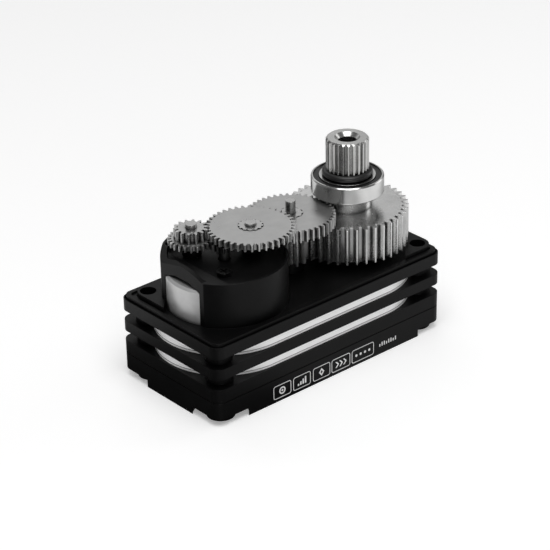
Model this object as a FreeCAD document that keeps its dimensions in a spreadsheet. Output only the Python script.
import FreeCAD, Part
import math
import os
import re
import Sketcher

# A compact digital servo with an all-metal gear train, top cover off.
# Millimetres, +Z up. Origin: middle of the underside. +X: towards the output shaft.

doc = FreeCAD.newDocument("servo")

DIMS = [
    # outer case
    ("case_length", 40.5), ("case_width", 20.0), ("case_corner", 1.4),
    ("cover_top", 3.55), ("seam", 0.13), ("flange_top", 5.45), ("fin_low", 6.9), ("fin_high", 8.45),
    ("plate_low", 9.95), ("plate_top", 11.65), ("lip_top", 12.1), ("lip_inset", 0.34),
    ("lip_wall", 0.65), ("slit_inset", 0.14), ("slit_depth", 0.35),
    ("step_top", 11.85), ("step_wall", 0.5),
    ("core_half_y", 9.65), ("core_arc_x", 10.3), ("corner_post_r", 1.8),
    ("cavity_half_x", 18.3), ("cavity_half_y", 8.0), ("cavity_roof", 10.2),
    ("cover_floor", 1.6), ("post_r", 2.4), ("screw_x", 17.85), ("screw_y", 7.2),
    ("screw_shift", 0.35),
    ("screw_hole_r", 1.1), ("screw_boss_r", 1.9), ("blind_top", 10.8),
    ("pad_top", 12.6), ("far_pad_inset", 1.3), ("pad_corner", 1.9),
    ("pad_reach", 16.4), ("far_pad_reach", 14.9), ("pad_half_wide", 14),
    ("pocket_r", 3.7), ("pocket_depth", 1.1),
    ("seal_inset", 0.75), ("seal_wide", 0.5), ("seal_low", 3.05),
    # motor turret
    ("turret_r", 8.4), ("rim_top", 18.0), ("fence_top", 18.9), ("fence_wall", 0.9),
    ("fence_flat_wall", 0.6), ("fence_crest_y", 0.6), ("fence_fall_r", 12.4),
    ("bevel_turn", 160), ("bevel_slope", 35), ("bevel_reach", 6.8),
    ("flat_x", -17.4), ("window_top", 17.0),
    ("window_arch", 0.7), ("recess_r", 8.05), ("ledge_x", -15.0), ("well_floor", 17.5),
    ("clear_c_r", 6.5),
    # motor
    ("motor_x", -10.2), ("motor_y", 0.0), ("can_r", 7.95), ("can_bore_r", 8.0),
    ("can_wall", 0.4), ("can_low", 4.5), ("can_top", 16.45), ("can_round", 0.3),
    ("can_boss_r", 6.0),
    ("cap_low", 3.9), ("yoke_in_r", 6.3), ("coil_in_r", 4.3),
    ("magnet_r", 4.0), ("stack_low", 5.7), ("stack_top", 14.2), ("motor_shaft_r", 0.75),
    ("motor_shaft_low", 4.2), ("bush_r", 2.0), ("fix_screw_dx", 3.0), ("fix_screw_dy", 3.45),
    ("fix_head_r", 0.95), ("fix_head_top", 18.1), ("fix_screw_r", 0.6),
    # gear train axes
    ("a_x", -12.34), ("a_y", 4.09), ("b_x", -5.87), ("b_y", -0.33),
    ("c_x", 1.81), ("c_y", 0.45), ("out_x", 11.8), ("out_y", 0.0),
    # gear train: teeth, modules, heights
    ("motor_teeth", 13), ("a_wheel_teeth", 24), ("mod_first", 0.25),
    ("a_pinion_teeth", 14), ("b_wheel_teeth", 40), ("mod_second", 0.29),
    ("b_pinion_teeth", 13), ("c_wheel_teeth", 42), ("mod_third", 0.28),
    ("c_pinion_teeth", 10), ("out_teeth", 40), ("mod_last", 0.4), ("backlash", 0.06),
    ("motor_pinion_low", 19.0), ("motor_pinion_top", 19.95),
    ("a_hub_low", 19.0), ("a_hub_r", 1.3), ("a_wheel_low", 19.13), ("a_wheel_top", 19.92),
    ("a_top", 21.35), ("a_pin_top", 21.9),
    ("b_low", 18.4), ("b_wheel_low", 20.1), ("b_wheel_top", 21.05), ("b_top", 21.15),
    ("b_hub_r", 1.7), ("b_pin_top", 21.5), ("c_low", 13.0), ("c_wheel_low", 18.4), ("c_wheel_top", 20.0),
    ("c_hub_r", 1.7), ("c_top", 20.05), ("c_pin_top", 21.9),
    ("pin_r", 0.75), ("c_pin_r", 0.7), ("running_gap", 0.03), ("pin_low", 17.0),
    # output stage
    ("out_low", 13.0), ("out_top", 18.2), ("out_boss_r", 3.3), ("out_boss_top", 20.3),
    ("seat_r", 2.6), ("journal_r", 3.0), ("low_journal_r", 2.5), ("shaft_low", 9.9),
    ("low_brg_low", 10.25), ("low_brg_top", 12.75), ("low_brg_r", 4.0), ("low_boss_r", 5.2),
    ("brg_top", 22.75), ("brg_inner_r", 3.87), ("brg_outer_in_r", 4.34), ("brg_r", 5.0),
    ("seal_seat_r", 4.68), ("seal_seat_low", 22.25),
    ("brg_chamfer", 0.15), ("ball_r", 0.6), ("ball_ring_r", 4.105), ("ball_count", 11),
    ("low_ball_r", 0.45), ("low_ball_ring_r", 3.25), ("seal_drop", 0.2),
    ("oring_r", 3.02), ("oring_wire_r", 0.45), ("groove_r", 2.55), ("spline_low", 23.7),
    ("spline_top", 28.2), ("spline_r", 2.95), ("spline_root_r", 2.66), ("spline_teeth", 25),
    ("horn_hole_r", 1.25), ("horn_hole_low", 20.2), ("sink_r", 1.75), ("sink_depth", 0.5),
    # electronics
    ("board_low", 2.7), ("board_top", 3.5), ("board_half_x", 17.9), ("board_half_y", 7.7),
    ("magnet_disc_r", 2.0), ("magnet_disc_low", 8.7), ("sensor_low", 7.0),
    ("sensor_top", 7.8), ("sensor_half_x", 5.7), ("sensor_half_y", 3.0), ("sensor_post_x", 4.9),
    ("cable_half_y", 3.2), ("cable_top", 5.3),
]


def make_sheet():
    sheet = doc.addObject("Spreadsheet::Sheet", "Dims")
    for row, (alias, value) in enumerate(DIMS, start=1):
        sheet.set("A%d" % row, alias)
        sheet.set("B%d" % row, str(value))
        sheet.setAlias("B%d" % row, alias)
    doc.recompute()
    return sheet


SHEET = make_sheet()
NAMES = [alias for alias, _ in DIMS]
DONE = []


def val(alias):
    """The number the sheet holds for a driving dimension."""
    return float(SHEET.get(alias))


def expr(text):
    """A formula in dimension names, as an expression on the sheet."""
    def swap(match):
        word = match.group(0)
        return "Dims." + word if word in NAMES else word
    return re.sub(r"[a-z][a-z0-9_]*", swap, str(text))


def place(obj, x, y, z):
    obj.setExpression("Placement.Base.x", expr(x))
    obj.setExpression("Placement.Base.y", expr(y))
    obj.setExpression("Placement.Base.z", expr(z))


def cyl(name, r, low, high, x="0", y="0"):
    obj = doc.addObject("Part::Cylinder", name)
    obj.setExpression("Radius", expr(r))
    obj.setExpression("Height", expr("(%s) - (%s)" % (high, low)))
    place(obj, x, y, low)
    return obj


def cone(name, r_low, r_high, low, high, x="0", y="0"):
    obj = doc.addObject("Part::Cone", name)
    obj.setExpression("Radius1", expr(r_low))
    obj.setExpression("Radius2", expr(r_high))
    obj.setExpression("Height", expr("(%s) - (%s)" % (high, low)))
    place(obj, x, y, low)
    return obj


def box(name, x0, x1, y0, y1, z0, z1):
    obj = doc.addObject("Part::Box", name)
    obj.setExpression("Length", expr("(%s) - (%s)" % (x1, x0)))
    obj.setExpression("Width", expr("(%s) - (%s)" % (y1, y0)))
    obj.setExpression("Height", expr("(%s) - (%s)" % (z1, z0)))
    place(obj, x0, y0, z0)
    return obj


def fuse(name, items):
    obj = doc.addObject("Part::MultiFuse", name)
    obj.Shapes = items
    obj.Refine = True
    return obj


def cut(name, base, tool):
    obj = doc.addObject("Part::Cut", name)
    obj.Base = base
    obj.Tool = tool
    obj.Refine = True
    return obj


def common(name, items):
    obj = doc.addObject("Part::MultiCommon", name)
    obj.Shapes = items
    return obj


def lying(name, r, x, length, y, z):
    """A cylinder whose axis runs along +X from x."""
    obj = doc.addObject("Part::Cylinder", name)
    obj.setExpression("Radius", expr(r))
    obj.setExpression("Height", expr(length))
    obj.Placement.Rotation = FreeCAD.Rotation(FreeCAD.Vector(0, 1, 0), 90)
    place(obj, x, y, z)
    return obj


def rounded(name, half_x, half_y, r, z0, z1):
    """A plate with rounded corners, centred on the origin."""
    parts = [box(name + "_x", "-(%s)" % half_x, half_x, "-(%s)+(%s)" % (half_y, r),
                 "(%s)-(%s)" % (half_y, r), z0, z1),
             box(name + "_y", "-(%s)+(%s)" % (half_x, r), "(%s)-(%s)" % (half_x, r),
                 "-(%s)" % half_y, half_y, z0, z1)]
    for i, (sx, sy) in enumerate(((1, 1), (1, -1), (-1, 1), (-1, -1))):
        parts.append(cyl("%s_c%d" % (name, i), r, z0, z1,
                         "%d*((%s)-(%s))" % (sx, half_x, r), "%d*((%s)-(%s))" % (sy, half_y, r)))
    return fuse(name, parts)


def four(name, r, z0, z1):
    """One cylinder at each case screw."""
    return [cyl("%s_%d" % (name, i), r, z0, z1, "%d*screw_x + screw_shift" % sx, "%d*screw_y" % sy)
            for i, (sx, sy) in enumerate(((1, 1), (1, -1), (-1, 1), (-1, -1)))]


def done(obj, node):
    obj.Label = node
    DONE.append((obj, node))
    return obj


def shape_part(node, shape, x=0.0, y=0.0, z=0.0):
    """A sub-part whose outline is computed, such as a gear."""
    obj = doc.addObject("Part::Feature", "f_" + node)
    obj.Shape = shape
    obj.Placement = FreeCAD.Placement(FreeCAD.Vector(x, y, z), FreeCAD.Rotation()) * shape.Placement
    return done(obj, node)


def ring_body(node, outer, inner, low, high, x="0", y="0"):
    """A plain pin (inner is None) or ring: a sketched profile padded upwards."""
    body = doc.addObject("PartDesign::Body", "b_" + node)
    plane = [f for f in body.Origin.OriginFeatures if f.Role == "XY_Plane"][0]
    sketch = body.newObject("Sketcher::SketchObject", "s_" + node)
    sketch.AttachmentSupport = [(plane, "")]
    sketch.MapMode = "FlatFace"
    radii = [("outer", outer)] + ([] if inner is None else [("inner", inner)])
    for i, (word, size) in enumerate(radii):
        circle = Part.Circle(FreeCAD.Vector(0, 0, 0), FreeCAD.Vector(0, 0, 1), 2.0 - i)
        sketch.addGeometry(circle, False)
        sketch.addConstraint(Sketcher.Constraint("Coincident", i, 3, -1, 1))
        n = sketch.addConstraint(Sketcher.Constraint("Radius", i, 2.0 - i))
        sketch.renameConstraint(n, word)
        sketch.setExpression("Constraints." + word, expr(size))
    pad = body.newObject("PartDesign::Pad", "p_" + node)
    pad.Profile = sketch
    pad.setExpression("Length", expr("(%s) - (%s)" % (high, low)))
    body.Tip = pad
    place(body, x, y, low)
    return done(body, node)


# ---------------------------------------------------------------- gear outlines

PRESSURE = math.radians(20)


def involute(angle):
    return math.tan(angle) - angle


def gear_wire(teeth, module, shift, tip_factor, root_factor, phase):
    """A closed involute outline with a tooth centred on the angle phase (radians)."""
    pitch_r = module * teeth / 2.0
    base_r = pitch_r * math.cos(PRESSURE)
    tip_r = pitch_r + module * (tip_factor + shift)
    root_r = pitch_r - module * (root_factor - shift)
    half_pitch = (math.pi / (2 * teeth) + 2 * shift * math.tan(PRESSURE) / teeth
                  - val("backlash") / (2 * pitch_r) + involute(PRESSURE))

    def half_angle(r):
        r = max(r, base_r)
        return half_pitch - involute(math.acos(base_r / r))

    def at(r, angle):
        return FreeCAD.Vector(r * math.cos(angle), r * math.sin(angle), 0)

    start_r = max(base_r, root_r) + 0.002
    radii = [start_r + (tip_r - start_r) * k / 5.0 for k in range(6)]
    edges = []
    step = 2 * math.pi / teeth
    for i in range(teeth):
        mid = phase + i * step
        up = [at(root_r, mid - half_angle(start_r))] if root_r < start_r - 0.01 else []
        up += [at(r, mid - half_angle(r)) for r in radii]
        down = [at(r, mid + half_angle(r)) for r in reversed(radii)]
        if root_r < start_r - 0.01:
            down.append(at(root_r, mid + half_angle(start_r)))
        nxt = at(up[0].Length, mid + step - half_angle(start_r))
        if root_r < start_r - 0.01:
            edges.append(Part.makeLine(up[0], up[1]))
            edges.append(flank(up[1:]))
        else:
            edges.append(flank(up))
        edges.append(Part.Arc(up[-1], at(tip_r, mid), down[0]).toShape())
        if root_r < start_r - 0.01:
            edges.append(flank(down[:-1]))
            edges.append(Part.makeLine(down[-2], down[-1]))
        else:
            edges.append(flank(down))
        edges.append(Part.Arc(down[-1], at(down[-1].Length, mid + step / 2), nxt).toShape())
    return Part.Wire(edges)


def flank(points):
    curve = Part.BSplineCurve()
    curve.interpolate(points)
    return curve.toShape()


def prism(outer, low, high, bore_r=None):
    """Extrude an outline from low to high, with a round bore if it has one."""
    solid = Part.Face(outer).extrude(FreeCAD.Vector(0, 0, high - low))
    if bore_r is not None:
        solid = solid.cut(Part.makeCylinder(bore_r, high - low))
    solid.translate(FreeCAD.Vector(0, 0, low))
    return solid


def disc(r, low, high):
    return Part.makeCylinder(r, high - low, FreeCAD.Vector(0, 0, low))


WHEEL = (-0.2, 0.9, 1.25)
PINION = (0.2, 0.9, 1.25)
LAST_WHEEL = (-0.1, 1.05, 1.25)
LAST_PINION = (0.1, 0.9, 1.25)


def toward(x0, y0, x1, y1):
    """Direction of the line of centres, in radians."""
    return math.atan2(y1 - y0, x1 - x0)


AXIS = {k: (val(k + "_x"), val(k + "_y")) for k in ("motor", "a", "b", "c", "out")}


def wire_of(key, mate, teeth, module, form, driving):
    """Outline of one gear, turned so that it meshes with its mate at rest."""
    angle = toward(*(AXIS[key] + AXIS[mate]))
    phase = angle if driving else angle + math.pi / teeth
    shift, tip_factor, root_factor = form
    return gear_wire(teeth, module, shift, tip_factor, root_factor, phase)


# ---------------------------------------------------------------- case


M = ("motor_x", "motor_y")
O = ("out_x", "out_y")


def outline(name, z0, z1, inset="0", r="case_corner"):
    return rounded(name, "case_length/2-(%s)" % inset, "case_width/2-(%s)" % inset, r, z0, z1)


def bottom_cover():
    shell = fuse("cover_shell", [outline("cover_block", "0", "cover_top - seam"),
                                 outline("cover_rim", "1", "cover_top", "seam", "case_corner - seam")])
    hollow = rounded("cover_room", "cavity_half_x", "cavity_half_y", "1.2",
                     "cover_floor", "cover_top + 1")
    room = cut("cover_room_posts", hollow, fuse("cover_posts", four("cpost", "post_r", "0", "6")))
    pocket_set = fuse("cover_pocket_set", four("cpock", "pocket_r", "-1", "pocket_depth"))
    pockets = cut("cover_pockets", pocket_set,
                  fuse("cover_bosses", four("cboss", "screw_boss_r", "-2", "pocket_depth + 1")))
    seal = cut("seal_groove", outline("sg_out", "seal_low", "cover_top+1", "seal_inset"),
               outline("sg_in", "seal_low-1", "cover_top+2", "seal_inset+seal_wide", "0.9"))
    holes = four("chole", "screw_hole_r", "-1", "6")
    body = cut("cover_cut", shell, fuse("cover_tools", [room, pockets, seal] + holes))
    stands = [cyl("stand%d" % i, "1", "cover_floor - 0.2", "board_low", x, y)
              for i, (x, y) in enumerate((("14", "4.5"), ("14", "-4.5"), ("-14", "4.5"), ("-14", "-4.5")))]
    done(fuse("bottom_cover_all", [body] + stands), "bottom_cover")


def cover_seal():
    done(cut("seal", outline("se_out", "seal_low", "cover_top", "seal_inset"),
             outline("se_in", "seal_low-1", "cover_top+1", "seal_inset+seal_wide", "0.9")),
         "cover_seal")


def core():
    """Waist of the case: round-ended, with a round post at each corner screw."""
    items = [box("core_mid", "-core_arc_x", "core_arc_x", "-core_half_y", "core_half_y",
                 "cover_top", "plate_low + 0.1")]
    items += [cyl("core_end%d" % i, "core_half_y", "cover_top", "plate_low + 0.1", x)
              for i, x in enumerate(("-core_arc_x", "core_arc_x"))]
    return fuse("core", items + four("corner_post", "corner_post_r", "cover_top", "plate_low + 0.1"))


def rim(name, inset, wall, top):
    """A raised border on the top plate."""
    inner = "(%s) + (%s)" % (inset, wall)
    return cut(name, outline(name + "_out", "plate_top - 0.2", top, inset, "1.15"),
               outline(name + "_in", "plate_top - 1", top + " + 1", inner, "0.6"))


def pads():
    """Raised screw pads in two opposite corners, each cut off square to its diagonal."""
    made = []
    for i, turn in enumerate((-45, 135)):
        wedge = box("pad_box%d" % i, "0", "12", "0", "2*pad_half_wide", "plate_top - 0.3", "pad_top + 1")
        wedge.Placement.Rotation = FreeCAD.Rotation(FreeCAD.Vector(0, 0, 1), turn)
        side, reach = 1 - 2 * i, ("pad_reach", "far_pad_reach")[i]
        place(wedge, "%d*(%s - pad_half_wide)*cos(45 deg)" % (side, reach),
              "%d*(-%s - pad_half_wide)*cos(45 deg)" % (side, reach), "plate_top - 0.3")
        end = ("lip_inset + 0.05", "far_pad_inset")[i]
        area = rounded("pad_area%d" % i, "case_length/2 - (%s)" % end,
                       "case_width/2 - lip_inset - lip_wall - 0.1", "pad_corner",
                       "plate_top - 0.2", "pad_top")
        made.append(common("pad%d" % i, [area, wedge]))
    return made


def bevel_tool():
    """A block whose sloping underside takes the corner off the fence."""
    block = doc.addObject("Part::Box", "bevel")
    block.Length, block.Width, block.Height = 12, 14, 6
    turn = FreeCAD.Rotation(FreeCAD.Vector(0, 0, 1), val("bevel_turn"))
    block.Placement.Rotation = turn * FreeCAD.Rotation(FreeCAD.Vector(0, 1, 0), val("bevel_slope"))
    inward = "bevel_reach - 4*cos(bevel_slope * 1 deg)"
    place(block, "motor_x + (%s)*cos(bevel_turn * 1 deg) + 7*sin(bevel_turn * 1 deg)" % inward,
          "motor_y + (%s)*sin(bevel_turn * 1 deg) - 7*cos(bevel_turn * 1 deg)" % inward,
          "fence_top + 4*sin(bevel_slope * 1 deg)")
    return block


def turret():
    """Round motor housing: a flat side, a shallow recess on top and a fence on its outer side."""
    drum = cyl("drum", "turret_r", "plate_top - 0.2", "fence_top", *M)
    flat = box("turret_flat", "flat_x - 5", "flat_x", "-12", "12", "plate_top", "30")
    inside = common("fence_inside", [
        cyl("fence_bore", "turret_r - fence_wall", "rim_top", "30", *M),
        box("fence_back", "flat_x + fence_flat_wall", "5", "-12", "12", "rim_top - 1", "30")])
    fall = lying("fence_fall", "fence_fall_r", "-21", "27", "fence_crest_y", "fence_top - fence_fall_r")
    front = cut("fence_front", box("front_box", "-20", "5", "-12", "fence_crest_y", "rim_top", "30"), fall)
    recess = common("recess", [cyl("recess_round", "recess_r", "well_floor", "30", *M),
                               box("recess_box", "ledge_x", "5", "-12", "12", "well_floor - 1", "30")])
    clear_c = cyl("clear_c", "clear_c_r", "well_floor", "30", "c_x", "c_y")
    return cut("turret", drum, fuse("turret_tools", [flat, inside, front, bevel_tool(), recess, clear_c]))


def case_outside():
    fins = [outline("flange", "cover_top", "flange_top"), outline("fin", "fin_low", "fin_high"),
            outline("plate", "plate_low", "plate_top")]
    rims = [rim("lip", "lip_inset", "lip_wall", "lip_top"),
            rim("step", "lip_inset + lip_wall - 0.1", "step_wall + 0.1", "step_top")]
    low_boss = cyl("low_boss", "low_boss_r", "plate_top - 0.2", "low_brg_top", "out_x", "out_y")
    pin_boss = cyl("pin_boss", "1.6", "plate_top - 0.2", "c_low - 0.05", "c_x", "c_y")
    return fuse("case_outside", [core()] + fins + rims + pads() + [turret(), low_boss, pin_boss])


def case_room():
    room = fuse("room", [box("room_box", "-6", "core_arc_x", "-cavity_half_y", "cavity_half_y",
                             "cover_top - 1", "cavity_roof"),
                         cyl("room_end", "cavity_half_y", "cover_top - 1", "cavity_roof", "core_arc_x")])
    keep = [cyl("under_boss", "low_boss_r", "cavity_roof - 0.6", "30", "out_x", "out_y"),
            cyl("sensor_post0", "0.7", "sensor_top", "30", "out_x - sensor_post_x", "out_y"),
            cyl("sensor_post1", "0.7", "sensor_top", "30", "out_x + sensor_post_x", "out_y")]
    return cut("case_room", room, fuse("room_keep", keep))


def fix_place(side):
    """Where a motor fixing screw goes, on one side of the motor shaft or the other."""
    return "motor_x + (%d)*fix_screw_dx" % side, "motor_y + (%d)*fix_screw_dy" % side


def middle_case():
    bore = fuse("motor_bore", [
        cyl("can_bore", "can_bore_r", "cover_top - 1", "window_top - window_arch", *M),
        cone("can_bore_end", "can_bore_r", "can_bore_r - window_arch", "window_top - window_arch",
             "window_top", *M)])
    bored = cut("case_bored", cut("case_hollow", case_outside(), case_room()), bore)
    tools = [cyl("shaft_way", "motor_shaft_r + 0.1", "window_top - 1", "30", *M),
             cyl("low_seat", "low_brg_r", "low_brg_low", "30", "out_x", "out_y"),
             cyl("low_way", "low_brg_r - 0.6", "0", "30", "out_x", "out_y"),
             cut("slit", outline("slit_out", "plate_top - slit_depth", "30", "slit_inset", "1.3"),
                 outline("slit_in", "0", "31", "lip_inset", "1.15")),
             cyl("hole_c", "c_pin_r", "0", "30", "c_x", "c_y"),
             cyl("hole_a", "pin_r", "pin_low", "30", "a_x", "a_y"),
             cyl("hole_b", "pin_r", "pin_low", "30", "b_x", "b_y"),
             cyl("fix0", "fix_screw_r", "window_top - 1", "30", *fix_place(-1)),
             cyl("fix1", "fix_screw_r", "window_top - 1", "30", *fix_place(1)),
             box("cable_way", "cavity_half_x - 1", "30", "-cable_half_y", "cable_half_y",
                 "0", "cable_top")]
    for i, (sx, sy) in enumerate(((1, 1), (1, -1), (-1, 1), (-1, -1))):
        top = "30" if sx != sy else "blind_top"
        tools.append(cyl("case_hole%d" % i, "screw_hole_r", "0", top,
                         "%d*screw_x + screw_shift" % sx, "%d*screw_y" % sy))
    body = cut("case_cut", bored, fuse("case_tools", tools))
    boss_a = cut("boss_a", cyl("boss_a_out", "1.3", "well_floor - 0.2", "a_hub_low - 0.05", "a_x", "a_y"),
                 cyl("boss_a_in", "pin_r", "0", "30", "a_x", "a_y"))
    boss_b = cut("boss_b", cyl("boss_b_out", "1.3", "well_floor - 0.2", "b_low - 0.05", "b_x", "b_y"),
                 cyl("boss_b_in", "pin_r", "0", "30", "b_x", "b_y"))
    done(fuse("middle_case_all", [body, boss_a, boss_b]), "middle_case")


def cable_grommet():
    block = box("grommet_block", "cavity_half_x", "case_length/2 - 0.05", "-cable_half_y",
                "cable_half_y", "cover_top", "cable_top")
    ways = []
    for i in (-1, 0, 1):
        ways.append(lying("wire_way%d" % (i + 1), "0.62", "cavity_half_x - 1", "6", "%d * 1.5" % i,
                          "(cover_top + cable_top)/2"))
    done(cut("grommet", block, fuse("wire_ways", ways)), "cable_grommet")


# ---------------------------------------------------------------- motor

def motor():
    can = cut("can", fuse("can_out", [cyl("can_o", "can_r", "can_low", "can_top - can_round", *M),
                                      cone("can_c", "can_r", "can_r - can_round", "can_top - can_round",
                                           "can_top", *M),
                                      cyl("can_b", "can_boss_r", "can_top - 0.1", "window_top", *M)]),
              fuse("can_in", [cyl("can_i", "can_r - can_wall", "can_low - 1", "can_top - 0.7", *M),
                              cyl("can_h", "bush_r", "0", "30", *M)]
                   + [cyl("can_t%d" % i, "fix_screw_r", "0", "30", *fix_place(side))
                      for i, side in enumerate((-1, 1))]))
    done(can, "motor_can")
    cap = cut("cap", fuse("cap_out", [cyl("cap_o", "can_r", "cap_low", "can_low", *M),
                                      cyl("cap_s", "can_r - can_wall", "can_low - 0.1",
                                          "can_low + 0.5", *M),
                                      cyl("cap_hub", "bush_r + 0.8", "can_low", "can_low + 0.9", *M)]),
              cyl("cap_h", "bush_r", "cap_low + 0.25", "30", *M))
    done(cap, "motor_end_cap")
    ring_body("motor_yoke", "can_r - can_wall", "yoke_in_r", "stack_low", "stack_top", *M)
    ring_body("motor_winding", "yoke_in_r", "coil_in_r", "stack_low - 0.5", "stack_top + 0.6", *M)
    ring_body("motor_magnet", "magnet_r", "motor_shaft_r", "stack_low", "stack_top", *M)
    ring_body("motor_shaft", "motor_shaft_r", None, "motor_shaft_low", "motor_pinion_top", *M)
    ring_body("motor_upper_bearing", "bush_r", "motor_shaft_r + running_gap", "can_top - 0.7",
              "window_top", *M)
    ring_body("motor_lower_bearing", "bush_r", "motor_shaft_r + running_gap", "cap_low + 0.25",
              "can_low + 0.9", *M)


def motor_screws():
    made = []
    for i, side in enumerate((-1, 1)):
        x, y = fix_place(side)
        head = fuse("fix_all%d" % i, [
            cyl("fix_head%d" % i, "fix_head_r", "well_floor", "fix_head_top", x, y),
            cyl("fix_stem%d" % i, "fix_screw_r", "can_top - 0.7", "well_floor + 0.1", x, y)])
        slots = [box("fix_sa%d" % i, "(%s)-0.6" % x, "(%s)+0.6" % x, "(%s)-0.13" % y, "(%s)+0.13" % y,
                     "fix_head_top - 0.3", "30"),
                 box("fix_sb%d" % i, "(%s)-0.13" % x, "(%s)+0.13" % x, "(%s)-0.6" % y, "(%s)+0.6" % y,
                     "fix_head_top - 0.3", "30")]
        made.append(cut("fix_cut%d" % i, head, fuse("fix_slots%d" % i, slots)))
    done(fuse("fix_pair", made), "motor_screws")


# ---------------------------------------------------------------- gear train


def motor_pinion():
    n, m = int(val("motor_teeth")), val("mod_first")
    wire = wire_of("motor", "a", n, m, PINION, True)
    solid = prism(wire, val("motor_pinion_low"), val("motor_pinion_top"), val("motor_shaft_r"))
    shape_part("motor_pinion", solid, *AXIS["motor"])


def compound_a():
    n, m = int(val("a_wheel_teeth")), val("mod_first")
    wheel = prism(wire_of("a", "motor", n, m, WHEEL, False), val("a_wheel_low"),
                  val("a_wheel_top"), val("a_hub_r"))
    shape_part("gear_a_wheel", wheel, *AXIS["a"])
    n, m = int(val("a_pinion_teeth")), val("mod_second")
    bore = val("pin_r") + val("running_gap")
    pinion = prism(wire_of("a", "b", n, m, PINION, True), val("a_wheel_top"), val("a_top"))
    pinion = pinion.fuse(disc(val("a_hub_r"), val("a_hub_low"), val("a_wheel_top") + 0.1))
    pinion = pinion.cut(disc(bore, 0, 30))
    shape_part("gear_a_pinion", pinion, *AXIS["a"])


def turned_end(pinion, shoulder, r):
    """Turns the pinion down to radius r above the shoulder, for the wheel to sit on."""
    box_top = pinion.BoundBox.ZMax + 1
    return pinion.common(disc(10, 0, shoulder).fuse(disc(r, shoulder - 1, box_top)))


def compound_b():
    n, m = int(val("b_pinion_teeth")), val("mod_third")
    small = wire_of("b", "c", n, m, PINION, True)
    bore = val("pin_r") + val("running_gap")
    pinion = turned_end(prism(small, val("b_low"), val("b_top"), bore), val("b_wheel_low"), val("b_hub_r"))
    shape_part("gear_b_pinion", pinion, *AXIS["b"])
    n, m = int(val("b_wheel_teeth")), val("mod_second")
    wheel = prism(wire_of("b", "a", n, m, WHEEL, False), val("b_wheel_low"),
                  val("b_wheel_top"), val("b_hub_r"))
    shape_part("gear_b_wheel", wheel, *AXIS["b"])


def compound_c():
    n, m = int(val("c_wheel_teeth")), val("mod_third")
    wheel = prism(wire_of("c", "b", n, m, WHEEL, False), val("c_wheel_low"),
                  val("c_wheel_top"), val("c_hub_r"))
    shape_part("gear_c_wheel", wheel, *AXIS["c"])
    n, m = int(val("c_pinion_teeth")), val("mod_last")
    bore = val("c_pin_r") + val("running_gap")
    pinion = prism(wire_of("c", "out", n, m, LAST_PINION, True), val("c_low"), val("c_top"), bore)
    shape_part("gear_c_pinion", turned_end(pinion, val("c_wheel_low"), val("c_hub_r")), *AXIS["c"])


def pins():
    ring_body("gear_a_pin", "pin_r", None, "pin_low", "a_pin_top", "a_x", "a_y")
    ring_body("gear_b_pin", "pin_r", None, "pin_low", "b_pin_top", "b_x", "b_y")
    ring_body("gear_c_pin", "c_pin_r", None, "cavity_roof", "c_pin_top", "c_x", "c_y")


def output_gear():
    n, m = int(val("out_teeth")), val("mod_last")
    solid = prism(wire_of("out", "c", n, m, LAST_WHEEL, False), val("out_low"), val("out_top"))
    solid = solid.fuse(disc(val("out_boss_r"), val("out_low"), val("out_boss_top")))
    shape_part("output_gear", solid.cut(disc(val("seat_r"), 0, 30)), *AXIS["out"])


def spline_wire():
    n, r, root = int(val("spline_teeth")), val("spline_r"), val("spline_root_r")
    points = []
    for i in range(n):
        mid = 2 * math.pi * i / n
        for rr, off in ((root, -0.40), (r, -0.13), (r, 0.13), (root, 0.40)):
            a = mid + off * 2 * math.pi / n
            points.append(FreeCAD.Vector(rr * math.cos(a), rr * math.sin(a), 0))
    return Part.makePolygon(points + [points[0]])


def output_shaft():
    body = disc(val("low_journal_r"), val("shaft_low"), val("out_low"))
    body = body.fuse(disc(val("seat_r"), val("out_low"), val("out_boss_top")))
    body = body.fuse(disc(val("journal_r"), val("out_boss_top"), val("brg_top")))
    body = body.fuse(disc(val("groove_r"), val("brg_top") - 0.1, val("spline_low") + 0.1))
    spline = prism(spline_wire(), val("spline_low"), val("spline_top"))
    tall = val("spline_top") - val("spline_low")
    edge = Part.makeCone(val("spline_r") - 0.25 + tall, val("spline_r") - 0.25, tall,
                         FreeCAD.Vector(0, 0, val("spline_low")))
    body = body.fuse(spline.common(edge))
    body = body.cut(disc(val("horn_hole_r"), val("horn_hole_low"), 40))
    sink = Part.makeCone(val("horn_hole_r"), val("sink_r"), val("sink_depth"),
                         FreeCAD.Vector(0, 0, val("spline_top") - val("sink_depth")))
    shape_part("output_shaft", body.cut(sink), *AXIS["out"])


# ---------------------------------------------------------------- bearings

def torus(name, ring_r, wire_r, z):
    obj = doc.addObject("Part::Torus", name)
    obj.setExpression("Radius1", expr(ring_r))
    obj.setExpression("Radius2", expr(wire_r))
    place(obj, "out_x", "out_y", z)
    return obj


def race(node, tag, r_out, r_in, low, high, ring_r, ball_r):
    ring = cut(tag + "_ring", cyl(tag + "_o", r_out, low, high, *O),
               cyl(tag + "_i", r_in, "(%s)-1" % low, "(%s)+1" % high, *O))
    tools = [torus(tag + "_track", ring_r, ball_r, "((%s)+(%s))/2" % (low, high))]
    if r_out == "brg_r":
        tools.append(cyl(tag + "_seat", "seal_seat_r", "seal_seat_low", "(%s)+1" % high, *O))
        sleeve = cyl(tag + "_s", "brg_r + 1", "(%s)-1" % low, "(%s)+1" % high, *O)
        core = fuse(tag + "_core", [
            cyl(tag + "_k", "brg_r", "(%s)+brg_chamfer" % low, "(%s)-brg_chamfer" % high, *O),
            cone(tag + "_kl", "brg_r-brg_chamfer", "brg_r", low, "(%s)+brg_chamfer" % low, *O),
            cone(tag + "_kh", "brg_r", "brg_r-brg_chamfer", "(%s)-brg_chamfer" % high, high, *O)])
        tools.append(cut(tag + "_edge", sleeve, core))
    done(cut(tag, ring, fuse(tag + "_tools", tools) if len(tools) > 1 else tools[0]), node)


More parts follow.
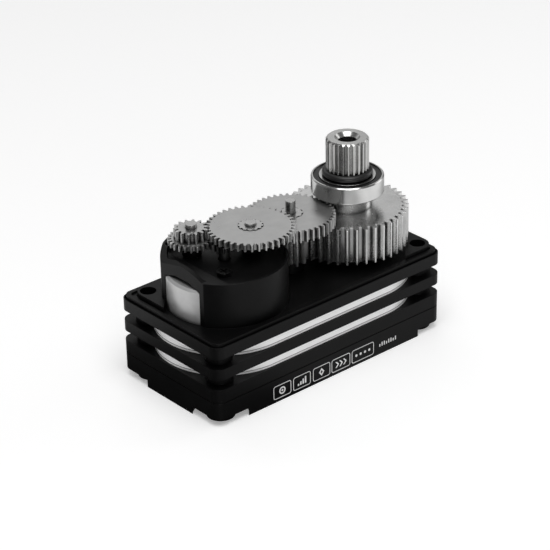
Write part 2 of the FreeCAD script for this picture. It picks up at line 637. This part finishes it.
def ball_place(ring_r, i, count):
    angle = "%d * 360 deg / %d" % (i, count)
    return "out_x + (%s)*cos(%s)" % (ring_r, angle), "out_y + (%s)*sin(%s)" % (ring_r, angle)


def balls(node, tag, count, ring_r, ball_r, z):
    made = []
    for i in range(count):
        ball = doc.addObject("Part::Sphere", "%s_%d" % (tag, i))
        ball.setExpression("Radius", expr(ball_r))
        x, y = ball_place(ring_r, i, count)
        place(ball, x, y, z)
        made.append(ball)
    group = doc.addObject("Part::Compound", tag)
    group.Links = made
    done(group, node)


def bearings():
    low, high = "out_boss_top", "brg_top"
    mid = "(out_boss_top + brg_top)/2"
    n = int(val("ball_count"))
    race("upper_bearing_inner", "ubi", "brg_inner_r", "journal_r", low, high,
         "ball_ring_r", "ball_r + 0.01")
    race("upper_bearing_outer", "ubo", "brg_r", "brg_outer_in_r", low, high,
         "ball_ring_r", "ball_r + running_gap")
    balls("upper_bearing_balls", "ubb", n, "ball_ring_r", "ball_r", mid)
    cage = cut("cage_ring", cyl("cage_o", "brg_outer_in_r - 0.07", mid + " - 1", mid + " + 0.5", *O),
               cyl("cage_i", "brg_inner_r + 0.05", mid + " - 2", mid + " + 1", *O))
    pockets = []
    for i in range(n):
        x, y = ball_place("ball_ring_r", i, n)
        pockets.append(cyl("pocket_%d" % i, "ball_r + 0.02", mid + " - ball_r - 0.02", mid + " + 1", x, y))
    done(cut("cage", cage, fuse("cage_pockets", pockets)), "upper_bearing_cage")
    ring_body("upper_bearing_seal", "seal_seat_r", "brg_inner_r + 0.05", "seal_seat_low",
              "brg_top - seal_drop", *O)
    low, high = "low_brg_low", "low_brg_top"
    mid = "(low_brg_low + low_brg_top)/2"
    race("lower_bearing_inner", "lbi", "low_ball_ring_r - 0.25", "low_journal_r", low, high,
         "low_ball_ring_r", "low_ball_r + 0.01")
    race("lower_bearing_outer", "lbo", "low_brg_r", "low_ball_ring_r + 0.25", low, high,
         "low_ball_ring_r", "low_ball_r + running_gap")
    balls("lower_bearing_balls", "lbb", n, "low_ball_ring_r", "low_ball_r", mid)


def output_o_ring():
    ring = torus("oring", "oring_r", "oring_wire_r", "brg_top + oring_wire_r + 0.01")
    done(ring, "output_o_ring")


# ---------------------------------------------------------------- electronics


def electronics():
    board = cut("board", box("board_plate", "-board_half_x", "board_half_x", "-board_half_y",
                             "board_half_y", "board_low", "board_top"),
                fuse("board_notches", four("bnotch", "post_r + 0.1", "0", "6")))
    done(board, "control_board")
    chips = [box("chip_under", "-4.5", "1.5", "-3", "3", "1.75", "board_low"),
             box("chip_under2", "5", "9", "-2", "2", "1.85", "board_low"),
             box("chip_power", "-1.5", "3", "2.2", "6.6", "board_top", "board_top + 1.1"),
             box("chip_logic", "8", "14", "-6.8", "-3", "board_top", "board_top + 1.0"),
             box("chip_small", "9", "12", "3.5", "6.5", "board_top", "board_top + 0.9")]
    done(fuse("chips", chips), "board_chips")
    tank = cyl("tank", "2.3", "board_top", "board_top + 5.8", "1.2", "-4.8")
    done(tank, "board_capacitor")
    done(box("sensor_plate", "out_x - sensor_half_x", "out_x + sensor_half_x", "-sensor_half_y",
             "sensor_half_y", "sensor_low", "sensor_top"), "sensor_board")
    done(box("sensor_ic", "out_x - 1.5", "out_x + 1.5", "-1.5", "1.5", "sensor_top",
             "sensor_top + 0.6"), "sensor_chip")
    ring_body("sensor_magnet", "magnet_disc_r", None, "magnet_disc_low", "shaft_low", *O)


def build():
    for make in (bottom_cover, cover_seal, middle_case, cable_grommet, motor, motor_screws,
                 motor_pinion, compound_a, compound_b, compound_c, pins, output_gear,
                 output_shaft, bearings, output_o_ring, electronics):
        make()


def save():
    doc.recompute()
    for obj in doc.Objects:
        if "Invalid" in obj.State or "Error" in obj.State:
            raise RuntimeError("feature %s failed" % obj.Name)
    os.makedirs("parts", exist_ok=True)
    for obj, node in DONE:
        shape = obj.Shape
        if shape.isNull() or not shape.isValid():
            raise RuntimeError("shape %s is not valid" % node)
        shape.exportStep("parts/%s.step" % node)
        b = shape.BoundBox
        print("%-22s %7.2f..%6.2f %7.2f..%6.2f %6.2f..%6.2f  vol %9.3f  solids %d" % (
            node, b.XMin, b.XMax, b.YMin, b.YMax, b.ZMin, b.ZMax, shape.Volume, len(shape.Solids)))


build()
save()
